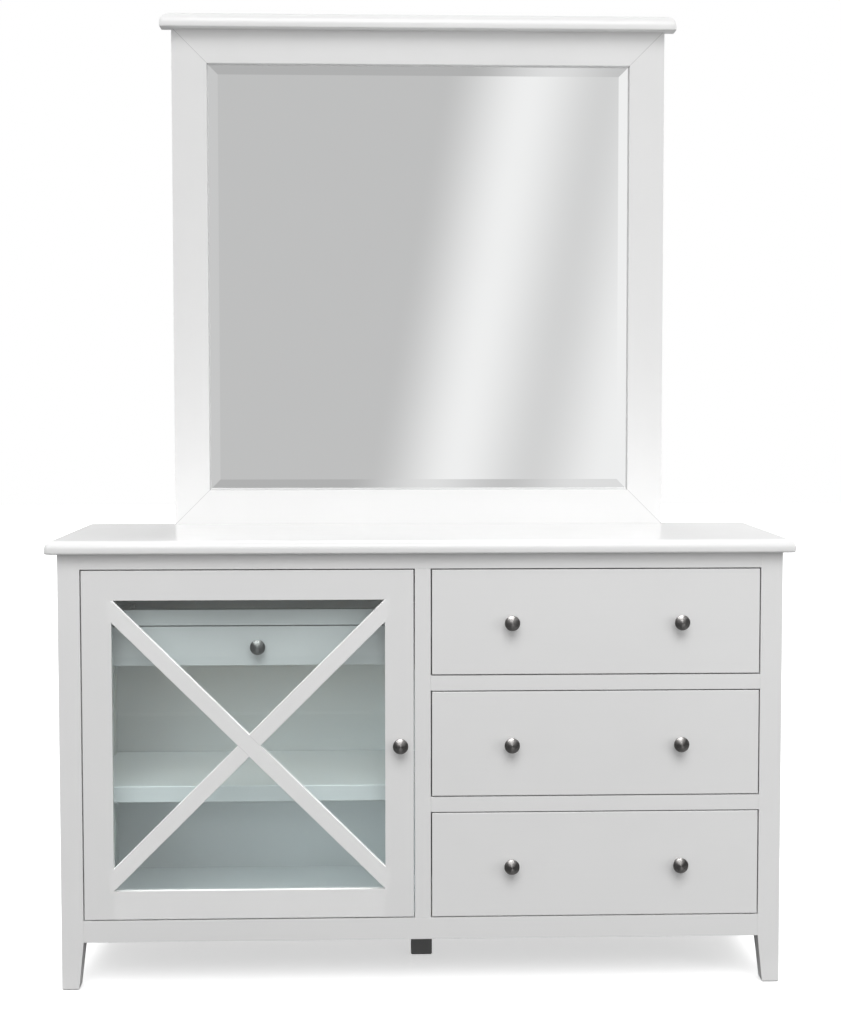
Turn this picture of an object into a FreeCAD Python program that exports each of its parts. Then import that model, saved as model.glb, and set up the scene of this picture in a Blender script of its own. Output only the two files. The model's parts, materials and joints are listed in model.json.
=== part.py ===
import FreeCAD, Part
import math
import os

Vector = FreeCAD.Vector

# A dresser with a standing mirror. Millimetres. X runs to the right as seen from
# the front, -Y points out of the front, +Z is up. The origin lies on the floor
# under the middle of the whole object.

# --- Top board -------------------------------------------------------------
top_width = 1405.0
top_depth = 440.0
top_thickness = 25.0
top_side_overhang = 21.5
top_front_overhang = 22.0
top_lower_round = 4.0
top_upper_round = 16.0
top_corner_radius = 9.0

# --- Legs and face frame ---------------------------------------------------
leg_size = 41.0
leg_clear_height = 91.0
foot_size = 31.5
foot_chamfer = 2.5
rail_thickness = 22.0
top_rail_height = 29.6
bottom_rail_height = 41.0
centre_stile_width = 30.0
drawer_rail_height = 28.5
frame_gap = 2.2

# --- Panels of the carcass -------------------------------------------------
side_panel_thickness = 15.0
side_panel_recess = 6.0
side_panel_tongue = 8.0
partition_thickness = 18.0
bottom_panel_thickness = 15.0
bottom_panel_step = 15.0
back_panel_thickness = 6.0
back_panel_lap = 10.0
rear_rail_height = 110.0
rear_rail_thickness = 18.0
centre_leg_size = 42.0
centre_leg_setback = 180.0

# --- Cupboard shelf --------------------------------------------------------
shelf_height = 250.0
shelf_thickness = 16.0
shelf_lip_height = 32.0
shelf_lip_thickness = 20.0
shelf_setback = 93.0
shelf_side_play = 1.0
shelf_edge_radius = 2.0
shelf_pin_radius = 2.5
shelf_pin_grip = 8.0
shelf_pin_reach = 10.0
shelf_pin_inset = 45.0
shelf_pin_play = 0.1

# --- Drawers ---------------------------------------------------------------
drawer_front_height = 198.4
drawer_count = 3
drawer_front_thickness = 20.0
front_edge_radius = 1.2
drawer_box_height = 140.0
drawer_box_lift = 18.0
drawer_rear_space = 24.0
box_side_thickness = 12.0
box_bottom_thickness = 5.0
box_bottom_lift = 10.0
box_groove_depth = 6.0
drawer_knob_spacing = 320.0

# --- Small drawer behind the door ------------------------------------------
inner_setback = 62.0
inner_rail_thickness = 18.0
inner_rail_height = 30.0
inner_rail_drop = 83.5
inner_front_height = 75.3
inner_front_thickness = 18.0
inner_left_margin = 42.0
inner_right_margin = 13.0
inner_box_height = 52.0
inner_box_lift = 10.0
inner_rear_space = 32.0
inner_cheek_thickness = 16.0
inner_spacer_length = 45.0
inner_cheek_tail = 14.0

# --- Drawer runners --------------------------------------------------------
runner_space = 12.7
runner_height = 35.0
inner_runner_height = 27.0
runner_channel_depth = 10.0
runner_sheet = 1.2
runner_play = 0.3
runner_packer_height = 50.0

# --- Door ------------------------------------------------------------------
door_thickness = 20.0
door_member_width = 55.8
door_knob_stile_width = 53.8
door_bottom_rail_width = 54.2
lattice_width = 30.0
lattice_tenon = 9.0
lattice_edge_radius = 1.0
door_lip = 10.0
door_rebate = 10.0
door_glass_thickness = 4.0
door_glass_play = 1.5
bead_width = 9.0
door_knob_inset = 25.0

# --- Concealed door hinges -------------------------------------------------
hinge_from_door_end = 72.0
cup_radius = 17.5
cup_depth = 11.5
cup_wall = 1.2
cup_edge_distance = 22.5
cup_flange_width = 38.0
cup_flange_height = 52.0
cup_flange_thickness = 1.0
cup_flange_round = 9.5
cup_play = 0.1
hinge_block_width = 12.0
hinge_block_height = 16.0
hinge_plate_thickness = 2.0
hinge_plate_height = 50.0
hinge_plate_width = 16.0
hinge_arm_height = 15.0
hinge_arm_thickness = 11.0
hinge_arm_reach = 10.0
hinge_arm_play = 0.5

# --- Knobs -----------------------------------------------------------------
knob_radius = 14.5
knob_reach = 27.0
knob_crown = 4.0
knob_stem_radius = 6.0
knob_stem_length = 17.0

# --- Mirror ----------------------------------------------------------------
mirror_inset = 191.5
mirror_height = 1028.0
mirror_member_width = 72.0
mirror_thickness = 32.0
mirror_lip = 10.0
mirror_rebate = 10.0
mirror_glass_thickness = 5.0
mirror_glass_edge = 3.0
mirror_glass_play = 2.0
mirror_seat_play = 0.1
mirror_bevel = 30.0
mirror_backing_thickness = 6.0
cornice_thickness = 31.0
cornice_depth = 38.0
cornice_front_overhang = 25.0
cornice_side_overhang = 22.0
cornice_lap = 3.0
cornice_lower_round = 2.0
cornice_upper_round = 24.0
cornice_corner_radius = 6.0
post_width = 60.0
post_thickness = 18.0
post_below_top = 138.0
post_above_top = 650.0
post_chamfer = 3.0

# --- Levels and planes worked out from the values above ---------------------
carcass_half = top_width / 2 - top_side_overhang
inner_half = carcass_half - leg_size
carcass_depth = top_depth - top_front_overhang
front_reach = max(knob_reach, top_front_overhang)
face_y = front_reach - (front_reach + carcass_depth + post_thickness) / 2
rear_y = face_y + carcass_depth
rail_back_y = face_y + rail_thickness
panel_back_y = rear_y - back_panel_thickness
rear_rail_front_y = panel_back_y - rear_rail_thickness

opening_bottom = leg_clear_height + bottom_rail_height
drawer_pitch = drawer_front_height + 2 * frame_gap + drawer_rail_height
opening_top = opening_bottom + drawer_count * drawer_pitch - drawer_rail_height
carcass_top = opening_top + top_rail_height
top_surface = carcass_top + top_thickness
bottom_panel_top = opening_bottom - bottom_panel_step
bottom_panel_under = bottom_panel_top - bottom_panel_thickness
side_outer_x = carcass_half - side_panel_recess
side_inner_x = side_outer_x - side_panel_thickness
stile_half = centre_stile_width / 2
partition_left_x = stile_half - partition_thickness

door_left_x = -inner_half + frame_gap
door_right_x = -stile_half - frame_gap
door_bottom = opening_bottom + frame_gap
door_top = opening_top - frame_gap
door_back_y = face_y + door_thickness
glass_y = face_y + door_lip

drawer_front_back_y = face_y + drawer_front_thickness
drawer_box_length = rear_rail_front_y - drawer_rear_space - drawer_front_back_y

inner_face_y = face_y + inner_setback
inner_front_back_y = inner_face_y + inner_front_thickness
inner_box_length = panel_back_y - inner_rear_space - inner_front_back_y
inner_rail_top = opening_top - inner_rail_drop
inner_rail_bottom = inner_rail_top - inner_rail_height
inner_opening_left = door_left_x + inner_left_margin - frame_gap
inner_opening_right = door_right_x - inner_right_margin + frame_gap

mirror_front_y = rear_y - mirror_thickness
mirror_top = top_surface + mirror_height
mirror_half = top_width / 2 - mirror_inset
mirror_lip_back_y = mirror_front_y + mirror_lip
bevel_fall = mirror_glass_thickness - mirror_glass_edge
bevel_fall_at_lip = bevel_fall * (1 - (mirror_rebate - mirror_glass_play) / mirror_bevel)
mirror_glass_y = mirror_lip_back_y + mirror_seat_play - bevel_fall_at_lip


# --- Shared helpers ----------------------------------------------------------
def block(x_range, y_range, z_range):
    """A plain box between pairs of planes."""
    corner = Vector(x_range[0], y_range[0], z_range[0])
    length = x_range[1] - x_range[0]
    width = y_range[1] - y_range[0]
    height = z_range[1] - z_range[0]
    return Part.makeBox(length, width, height, corner)


def prism(points, travel):
    """A polygon pushed along a vector."""
    outline = Part.makePolygon(points + [points[0]])
    return Part.Face(outline).extrude(travel)


def save(name, solids):
    """Write one sub-part, made of one or more separate solids."""
    shape = solids[0] if len(solids) == 1 else Part.makeCompound(solids)
    shape.exportStep(os.path.join("parts", name + ".step"))


def quarter_round(start, corner, end):
    """A quarter circle that leaves and meets the two equal sides of a square corner."""
    centre = start + end - corner
    middle = centre + (corner - centre) * math.sqrt(0.5)
    return Part.Arc(start, middle, end).toShape()


def edges_where(shape, test):
    """The edges whose two ends and middle all pass a test."""
    return [
        edge for edge in shape.Edges
        if test(edge.CenterOfMass) and all(test(vertex.Point) for vertex in edge.Vertexes)
    ]


def near(value, target):
    return abs(value - target) < 1e-4


# --- Boards with a moulded edge ------------------------------------------------
def edge_profile(outer, inward, back, z_bottom, thickness, rounds, point):
    """Section of a moulded board: small round below, flat nose, large round above, square back."""
    lower_round, upper_round = rounds
    z_top = z_bottom + thickness
    under = point(outer + inward * lower_round, z_bottom)
    nose_low = point(outer, z_bottom + lower_round)
    nose_high = point(outer, z_top - upper_round)
    crest = point(outer + inward * upper_round, z_top)
    edges = [
        Part.makeLine(point(back, z_bottom), under),
        quarter_round(under, point(outer, z_bottom), nose_low),
        Part.makeLine(nose_low, nose_high),
        quarter_round(nose_high, point(outer, z_top), crest),
        Part.makeLine(crest, point(back, z_top)),
        Part.makeLine(point(back, z_top), point(back, z_bottom)),
    ]
    return Part.Face(Part.Wire(edges))


def moulded_board(half_width, y_range, z_bottom, thickness, rounds, corner_radius):
    """A board whose front and two ends carry the moulding and whose back is square."""
    y_front, y_back = y_range
    along_x = edge_profile(y_front, 1, y_back, z_bottom, thickness, rounds,
                           lambda y, z: Vector(-half_width, y, z))
    board = along_x.extrude(Vector(2 * half_width, 0, 0))
    for side in (-1, 1):
        along_y = edge_profile(side * half_width, -side, 0, z_bottom, thickness, rounds,
                               lambda x, z: Vector(x, y_front, z))
        half = along_y.extrude(Vector(0, y_back - y_front, 0))
        far_half = block(sorted((0, -side * half_width)), y_range, (z_bottom, z_bottom + thickness))
        board = board.common(half.fuse(far_half))
    plan = block((-half_width, half_width), y_range, (z_bottom, z_bottom + thickness))
    corners = edges_where(plan, lambda p: near(p.y, y_front) and near(abs(p.x), half_width))
    plan = plan.makeFillet(corner_radius, corners)
    return board.common(plan).removeSplitter()


# --- Legs ------------------------------------------------------------------------
def leg_section(x_out, y_out, x_in, y_in, size, z):
    """Square outline of a leg, measured inward from its outer corner."""
    far_x = x_out + x_in * size
    far_y = y_out + y_in * size
    corners = [(x_out, y_out), (far_x, y_out), (far_x, far_y), (x_out, far_y), (x_out, y_out)]
    return Part.makePolygon([Vector(x, y, z) for x, y in corners])


def leg(x_side, y_side):
    """A square post whose foot tapers on its two inner faces."""
    x_out = x_side * carcass_half
    y_out = face_y if y_side < 0 else rear_y
    outlines = [
        leg_section(x_out, y_out, -x_side, -y_side, foot_size, 0),
        leg_section(x_out, y_out, -x_side, -y_side, leg_size, leg_clear_height),
    ]
    foot = Part.makeLoft(outlines, True, True)
    rim = [edge for edge in foot.Edges if edge.BoundBox.ZMax < foot_chamfer / 2]
    foot = foot.makeChamfer(foot_chamfer, rim)
    post = block(
        sorted((x_out, x_out - x_side * leg_size)),
        sorted((y_out, y_out - y_side * leg_size)),
        (leg_clear_height, carcass_top),
    )
    return post.fuse(foot).removeSplitter()


def centre_leg():
    half = centre_leg_size / 2
    front = face_y + centre_leg_setback
    post = block((-half, half), (front, front + centre_leg_size), (0, bottom_panel_under))
    rim = [edge for edge in post.Edges if edge.BoundBox.ZMax < foot_chamfer / 2]
    return post.makeChamfer(foot_chamfer, rim)


# --- Carcass panels and rails ----------------------------------------------------
def side_panel(x_side):
    """A flat panel held by tongues in the legs, a little behind their outer faces."""
    return block(
        sorted((x_side * side_outer_x, x_side * side_inner_x)),
        (face_y + leg_size - side_panel_tongue, rear_y - leg_size + side_panel_tongue),
        (leg_clear_height, carcass_top),
    )


def back_panel():
    edge_x = inner_half + back_panel_lap
    return block((-edge_x, edge_x), (panel_back_y, rear_y), (bottom_panel_under, carcass_top))


def rear_top_rail():
    z_range = (carcass_top - rear_rail_height, carcass_top)
    return block((-inner_half, inner_half), (rear_rail_front_y, panel_back_y), z_range)


def bottom_panel(posts):
    board = block(
        (-side_inner_x, side_inner_x),
        (rail_back_y, panel_back_y),
        (bottom_panel_under, bottom_panel_top),
    )
    return board.cut(posts)


def partition(rear_rail):
    board = block(
        (partition_left_x, stile_half),
        (rail_back_y, panel_back_y),
        (bottom_panel_top, carcass_top),
    )
    return board.cut(rear_rail)


def face_rail(x_range, z_range):
    return block(x_range, (face_y, rail_back_y), z_range)


# --- Cupboard shelf -----------------------------------------------------------------
shelf_top = bottom_panel_top + shelf_height
shelf_under = shelf_top - shelf_thickness
shelf_front_y = face_y + shelf_setback


def shelf(posts):
    """A board with a deeper lip along its front edge."""
    x_range = (-side_inner_x + shelf_side_play, partition_left_x - shelf_side_play)
    board = block(x_range, (shelf_front_y, panel_back_y - shelf_side_play), (shelf_under, shelf_top))
    lip = block(
        x_range,
        (shelf_front_y, shelf_front_y + shelf_lip_thickness),
        (shelf_top - shelf_lip_height, shelf_top),
    )
    board = board.fuse(lip).removeSplitter()
    front_edges = edges_where(board, lambda p: near(p.y, shelf_front_y))
    level_edges = [edge for edge in front_edges if near(edge.BoundBox.ZLength, 0)]
    board = board.makeFillet(shelf_edge_radius, level_edges)
    return board.cut(posts)


def shelf_pins():
    """Four round pins, half in the wall and half under the shelf."""
    z = shelf_under - shelf_pin_play - shelf_pin_radius
    rear_pin_y = rear_y - leg_size - shelf_pin_inset
    front_pin_y = shelf_front_y + shelf_lip_thickness + shelf_pin_inset
    length = shelf_pin_grip + shelf_pin_reach
    pins = []
    for y in (front_pin_y, rear_pin_y):
        left = Vector(-side_inner_x - shelf_pin_grip, y, z)
        right = Vector(partition_left_x + shelf_pin_grip, y, z)
        pins.append(Part.makeCylinder(shelf_pin_radius, length, left, Vector(1, 0, 0)))
        pins.append(Part.makeCylinder(shelf_pin_radius, length, right, Vector(-1, 0, 0)))
    return pins


# --- Housing of the small drawer ----------------------------------------------------
def inner_drawer_rail():
    return block(
        (-side_inner_x, partition_left_x),
        (inner_face_y, inner_face_y + inner_rail_thickness),
        (inner_rail_bottom, inner_rail_top),
    )


def inner_drawer_cheeks():
    """Battens either side of the small drawer, spaced off the cupboard walls."""
    y_range = (inner_face_y, panel_back_y - inner_cheek_tail)
    z_range = (inner_rail_bottom - frame_gap - inner_front_height, inner_rail_bottom)
    cheek_left = inner_opening_left - inner_cheek_thickness
    solids = [
        block((cheek_left, inner_opening_left), y_range, z_range),
        block((inner_opening_right, partition_left_x), y_range, z_range),
    ]
    for start in (y_range[0], rear_y - leg_size - inner_spacer_length):
        spacer_range = (start, start + inner_spacer_length)
        solids.append(block((-side_inner_x, cheek_left), spacer_range, z_range))
    return solids


# --- Runners ------------------------------------------------------------------------
def channel(wall_x, inward, y_range, z_middle, height, depth, web_inside):
    """A folded steel channel that lies along Y. Its web is on the wall or on the drawer."""
    half = height / 2
    solid = block(
        sorted((wall_x, wall_x + inward * depth)), y_range, (z_middle - half, z_middle + half)
    )
    if web_inside:
        hollow_x = sorted((wall_x, wall_x + inward * (depth - runner_sheet)))
    else:
        hollow_x = sorted((wall_x + inward * runner_sheet, wall_x + inward * depth))
    hollow_z = (z_middle - half + runner_sheet, z_middle + half - runner_sheet)
    return solid.cut(block(hollow_x, y_range, hollow_z))


def runner_pair(opening, y_range, z_middle, height):
    """The fixed and the sliding members at both sides of one drawer."""
    fixed = []
    sliding = []
    slider_height = height - 2 * (runner_sheet + runner_play)
    slider_start = runner_sheet + runner_play
    for wall_x, inward in ((opening[0], 1), (opening[1], -1)):
        fixed.append(
            channel(wall_x, inward, y_range, z_middle, height, runner_channel_depth, False)
        )
        sliding.append(
            channel(wall_x + inward * slider_start, inward, y_range, z_middle, slider_height,
                    runner_space - slider_start, True)
        )
    return fixed, sliding


# --- Drawers ------------------------------------------------------------------------
def drawer_front(x_range, front_y, thickness, z_range):
    """A flat front with eased edges."""
    board = block(x_range, (front_y, front_y + thickness), z_range)
    rim = edges_where(board, lambda p: near(p.y, front_y))
    return board.makeFillet(front_edge_radius, rim)


def drawer_box(opening, y_start, length, z_start, height):
    """Two sides, a back and a bottom that slides in grooves under the back."""
    left = opening[0] + runner_space
    right = opening[1] - runner_space
    y_end = y_start + length
    bottom_z = (z_start + box_bottom_lift, z_start + box_bottom_lift + box_bottom_thickness)
    z_range = (z_start, z_start + height)
    bottom = block(
        (left + box_side_thickness - box_groove_depth, right - box_side_thickness + box_groove_depth),
        (y_start - box_groove_depth, y_end),
        bottom_z,
    )
    sides = [
        block((left, left + box_side_thickness), (y_start, y_end), z_range).cut(bottom),
        block((right - box_side_thickness, right), (y_start, y_end), z_range).cut(bottom),
    ]
    back = block(
        (left + box_side_thickness, right - box_side_thickness),
        (y_end - box_side_thickness, y_end),
        (bottom_z[1], z_start + height),
    )
    return sides + [back], bottom


def knob(x, front_y, z):
    """A turned knob: a plain stem and a broad head with a domed face."""
    outward = Vector(0, -1, 0)
    stem = Part.makeCylinder(knob_stem_radius, knob_stem_length, Vector(x, front_y, z), outward)
    head_base = Vector(x, front_y - knob_stem_length, z)
    head = Part.makeCylinder(knob_radius, knob_reach - knob_stem_length, head_base, outward)
    dome_radius = (knob_radius ** 2 + knob_crown ** 2) / (2 * knob_crown)
    dome = Part.makeSphere(dome_radius, Vector(x, front_y - knob_reach + dome_radius, z))
    return stem.fuse(head.common(dome)).removeSplitter()


def make_drawer(name, opening, front_y, front_thickness, z_range, box_lift, box_height,
                box_length, slide_height, knob_offsets):
    """Write the pieces of one drawer and return the fixed halves of its runners."""
    front_x = (opening[0] + frame_gap, opening[1] - frame_gap)
    back_of_front = front_y + front_thickness
    box_z = z_range[0] + box_lift
    walls, bottom = drawer_box(opening, back_of_front, box_length, box_z, box_height)
    front = drawer_front(front_x, front_y, front_thickness, z_range).cut(bottom)
    runner_y = (max(back_of_front, rail_back_y), back_of_front + box_length)
    fixed, sliding = runner_pair(opening, runner_y, box_z + box_height / 2, slide_height)
    middle_x = (front_x[0] + front_x[1]) / 2
    middle_z = (z_range[0] + z_range[1]) / 2
    save(name + "_front", [front])
    save(name + "_box", walls + [bottom])
    save(name + "_knobs", [knob(middle_x + offset, front_y, middle_z) for offset in knob_offsets])
    save(name + "_runners", sliding)
    return fixed


# --- Door ----------------------------------------------------------------------------
def door_opening():
    x_range = (door_left_x + door_member_width, door_right_x - door_knob_stile_width)
    z_range = (door_bottom + door_bottom_rail_width, door_top - door_member_width)
    return x_range, z_range


def grown(bounds, amount):
    return (bounds[0] - amount, bounds[1] + amount)


def lattice_bar(rising):
    """A diagonal strip whose two long edges run into opposite corners of the opening."""
    x_range, z_range = door_opening()
    span_x = x_range[1] - x_range[0]
    span_z = z_range[1] - z_range[0]
    diagonal = math.hypot(span_x, span_z)
    angle = math.atan2(span_z, span_x) - math.asin(lattice_width / diagonal)
    centre = Vector(sum(x_range) / 2, face_y, sum(z_range) / 2)
    slope = 1 if rising else -1
    along = Vector(math.cos(angle), 0, slope * math.sin(angle)) * diagonal
    across = Vector(-slope * math.sin(angle), 0, math.cos(angle)) * (lattice_width / 2)
    corners = [
        centre - along - across,
        centre + along - across,
        centre + along + across,
        centre - along + across,
    ]
    strip = prism(corners, Vector(0, door_lip, 0))
    arrises = [
        edge for edge in strip.Edges
        if edge.Length > diagonal and near(edge.Vertexes[0].Y, face_y)
    ]
    strip = strip.makeFillet(lattice_edge_radius, arrises)
    limits = block(
        grown(x_range, lattice_tenon), (face_y, face_y + door_lip), grown(z_range, door_member_width)
    )
    return strip.common(limits)


def halving_joint(through_bar, lapped_bar):
    """Half of each bar's depth is cut away where they cross; the first stays whole in front."""
    half_depth = door_lip / 2
    crossing = through_bar.BoundBox
    front_half = block(
        (crossing.XMin, crossing.XMax), (face_y, face_y + half_depth), (crossing.ZMin, crossing.ZMax)
    )
    rear_half = block(
        (crossing.XMin, crossing.XMax),
        (face_y + half_depth, face_y + door_lip),
        (crossing.ZMin, crossing.ZMax),
    )
    through = through_bar.cut(lapped_bar.common(rear_half))
    lapped = lapped_bar.cut(through_bar.common(front_half))
    return through, lapped


def on_door_edge(point):
    at_side = near(point.x, door_left_x) or near(point.x, door_right_x)
    return at_side or near(point.z, door_bottom) or near(point.z, door_top)


def door_member(x_range, z_range, bars, rebate_hollow):
    """A stile or rail: eased outer front edges, glass rebate and mortises for the lattice."""
    board = block(x_range, (face_y, door_back_y), z_range)
    rim = edges_where(board, lambda p: near(p.y, face_y) and on_door_edge(p))
    board = board.makeFillet(front_edge_radius, rim)
    board = board.cut(rebate_hollow)
    for bar in bars:
        board = board.cut(bar)
    return board


def hinge_heights():
    return (door_bottom + hinge_from_door_end, door_top - hinge_from_door_end)


def hinge_bore(z):
    """The blind round hole for one hinge cup."""
    base = Vector(door_left_x + cup_edge_distance, door_back_y - cup_depth, z)
    return Part.makeCylinder(cup_radius + cup_play, cup_depth, base, Vector(0, 1, 0))


def hinge_cup(z):
    """A pressed cup with its flange, and the knuckle block that sits in it."""
    x = door_left_x + cup_edge_distance
    floor_y = door_back_y - cup_depth
    axis = Vector(0, 1, 0)
    cup = Part.makeCylinder(cup_radius, cup_depth, Vector(x, floor_y, z), axis)
    half_height = cup_flange_height / 2
    flange = block(
        (x - cup_flange_width / 2, x + cup_flange_width / 2),
        (door_back_y, door_back_y + cup_flange_thickness),
        (z - half_height, z + half_height),
    )
    corner_edges = [edge for edge in flange.Edges if near(edge.Length, cup_flange_thickness)]
    flange = flange.makeFillet(cup_flange_round, corner_edges)
    hollow_depth = cup_depth + cup_flange_thickness - cup_wall
    hollow = Part.makeCylinder(
        cup_radius - cup_wall, hollow_depth, Vector(x, floor_y + cup_wall, z), axis
    )
    knuckle = block(
        (x - hinge_block_width / 2, x + hinge_block_width / 2),
        (floor_y + cup_wall, door_back_y),
        (z - hinge_block_height / 2, z + hinge_block_height / 2),
    )
    return cup.fuse(flange).cut(hollow).fuse(knuckle).removeSplitter()


def hinge_arm(z):
    """The plate on the leg and the arm that reaches over the cup."""
    wall_x = -inner_half
    near_y = door_back_y + cup_flange_thickness + hinge_arm_play
    plate = block(
        (wall_x, wall_x + hinge_plate_thickness),
        (near_y, near_y + hinge_plate_width),
        (z - hinge_plate_height / 2, z + hinge_plate_height / 2),
    )
    root_x = wall_x + hinge_plate_thickness
    tip_x = door_left_x + cup_edge_distance + hinge_arm_reach
    far_y = near_y + hinge_arm_thickness
    knee_x = root_x + (tip_x - root_x) / 3
    outline = [
        (root_x, near_y),
        (tip_x, near_y),
        (tip_x, far_y),
        (knee_x + hinge_arm_thickness / 2, far_y),
        (knee_x, near_y + hinge_plate_width),
        (root_x, near_y + hinge_plate_width),
    ]
    low_z = z - hinge_arm_height / 2
    arm = prism([Vector(x, y, low_z) for x, y in outline], Vector(0, 0, hinge_arm_height))
    return plate.fuse(arm).removeSplitter()


def glass_beads():
    """Four beads that hold the door glass against its lip from behind."""
    x_range, z_range = door_opening()
    y_range = (glass_y + door_glass_thickness, door_back_y)
    outer_x = grown(x_range, door_rebate)
    outer_z = grown(z_range, door_rebate)
    inner_x = grown(outer_x, -bead_width)
    inner_z = grown(outer_z, -bead_width)

    def bead(a, b, c, d):
        corners = [Vector(x, y_range[0], z) for x, z in (a, b, c, d)]
        return prism(corners, Vector(0, y_range[1] - y_range[0], 0))

    outer = [(outer_x[0], outer_z[0]), (outer_x[1], outer_z[0]),
             (outer_x[1], outer_z[1]), (outer_x[0], outer_z[1])]
    inner = [(inner_x[0], inner_z[0]), (inner_x[1], inner_z[0]),
             (inner_x[1], inner_z[1]), (inner_x[0], inner_z[1])]
    beads = []
    for index in range(4):
        following = (index + 1) % 4
        beads.append(bead(outer[index], outer[following], inner[following], inner[index]))
    return beads


def make_door():
    x_range, z_range = door_opening()
    through_bar, lapped_bar = halving_joint(lattice_bar(False), lattice_bar(True))
    bars = [through_bar, lapped_bar]
    rebate_hollow = block(
        grown(x_range, door_rebate), (glass_y, door_back_y), grown(z_range, door_rebate)
    )
    full_height = (door_bottom, door_top)
    hinge_stile = door_member((door_left_x, x_range[0]), full_height, bars, rebate_hollow)
    for z in hinge_heights():
        hinge_stile = hinge_stile.cut(hinge_bore(z))
    knob_stile = door_member((x_range[1], door_right_x), full_height, bars, rebate_hollow)
    glass = block(
        grown(x_range, door_rebate - door_glass_play),
        (glass_y, glass_y + door_glass_thickness),
        grown(z_range, door_rebate - door_glass_play),
    )
    middle_z = (door_bottom + door_top) / 2
    save("door_hinge_stile", [hinge_stile])
    save("door_knob_stile", [knob_stile])
    save("door_top_rail", [door_member(x_range, (z_range[1], door_top), bars, rebate_hollow)])
    save("door_bottom_rail", [door_member(x_range, (door_bottom, z_range[0]), bars, rebate_hollow)])
    save("door_lattice_through_bar", [through_bar])
    save("door_lattice_lapped_bar", [lapped_bar])
    save("door_glass", [glass])
    save("door_glass_beads", glass_beads())
    save("door_knob", [knob(door_right_x - door_knob_inset, face_y, middle_z)])
    save("door_hinge_cups", [hinge_cup(z) for z in hinge_heights()])


# --- Mirror ---------------------------------------------------------------------------
def mirror_opening():
    x_range = (-mirror_half + mirror_member_width, mirror_half - mirror_member_width)
    z_range = (top_surface + mirror_member_width, mirror_top - mirror_member_width)
    return x_range, z_range


def mirror_members():
    """Four mitred members, rebated behind for the glass: bottom, right, top, left."""
    x_range, z_range = mirror_opening()
    outer = [(-mirror_half, top_surface), (mirror_half, top_surface),
             (mirror_half, mirror_top), (-mirror_half, mirror_top)]
    inner = [(x_range[0], z_range[0]), (x_range[1], z_range[0]),
             (x_range[1], z_range[1]), (x_range[0], z_range[1])]
    rebate_hollow = block(
        grown(x_range, mirror_rebate), (mirror_lip_back_y, rear_y), grown(z_range, mirror_rebate)
    )
    members = []
    for index in range(4):
        following = (index + 1) % 4
        outline = [outer[index], outer[following], inner[following], inner[index]]
        corners = [Vector(x, mirror_front_y, z) for x, z in outline]
        member = prism(corners, Vector(0, mirror_thickness, 0))
        members.append(member.cut(rebate_hollow))
    return members


def mirror_glass():
    """A plate whose front edges are ground to a wide shallow bevel."""
    x_range, z_range = mirror_opening()
    plate_x = grown(x_range, mirror_rebate - mirror_glass_play)
    plate_z = grown(z_range, mirror_rebate - mirror_glass_play)
    edge_y = mirror_glass_y + bevel_fall
    plate = block(plate_x, (edge_y, edge_y + mirror_glass_edge), plate_z)
    face_x = grown(plate_x, -mirror_bevel)
    face_z = grown(plate_z, -mirror_bevel)

    def outline(x_pair, z_pair, y):
        corners = [(x_pair[0], z_pair[0]), (x_pair[1], z_pair[0]),
                   (x_pair[1], z_pair[1]), (x_pair[0], z_pair[1]), (x_pair[0], z_pair[0])]
        return Part.makePolygon([Vector(x, y, z) for x, z in corners])

    bevel = Part.makeLoft(
        [outline(face_x, face_z, mirror_glass_y), outline(plate_x, plate_z, edge_y)], True, True
    )
    return plate.fuse(bevel).removeSplitter()


def mirror_backing():
    x_range, z_range = mirror_opening()
    front = mirror_glass_y + mirror_glass_thickness
    return block(
        grown(x_range, mirror_rebate - mirror_glass_play),
        (front, front + mirror_backing_thickness),
        grown(z_range, mirror_rebate - mirror_glass_play),
    )


def mirror_cornice(members):
    """A moulding let down over the front half of the mirror's head."""
    front = mirror_front_y - cornice_front_overhang
    board = moulded_board(
        mirror_half + cornice_side_overhang,
        (front, front + cornice_depth),
        mirror_top - cornice_lap,
        cornice_thickness,
        (cornice_lower_round, cornice_upper_round),
        cornice_corner_radius,
    )
    for member in members:
        board = board.cut(member)
    return board


def mirror_posts():
    """Two battens behind the mirror stiles that run down behind the carcass."""
    middle_x = mirror_half - mirror_member_width / 2
    posts = []
    for side in (-1, 1):
        post = block(
            (side * middle_x - post_width / 2, side * middle_x + post_width / 2),
            (rear_y, rear_y + post_thickness),
            (top_surface - post_below_top, top_surface + post_above_top),
        )
        rear_face = edges_where(post, lambda p: near(p.y, rear_y + post_thickness))
        posts.append(post.makeChamfer(post_chamfer, rear_face))
    return posts


def make_mirror():
    bottom, right, top, left = mirror_members()
    save("mirror_bottom_rail", [bottom])
    save("mirror_right_stile", [right])
    save("mirror_top_rail", [top])
    save("mirror_left_stile", [left])
    save("mirror_glass", [mirror_glass()])
    save("mirror_backing", [mirror_backing()])
    save("mirror_cornice", [mirror_cornice([left, top, right])])
    save("mirror_posts", mirror_posts())


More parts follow.
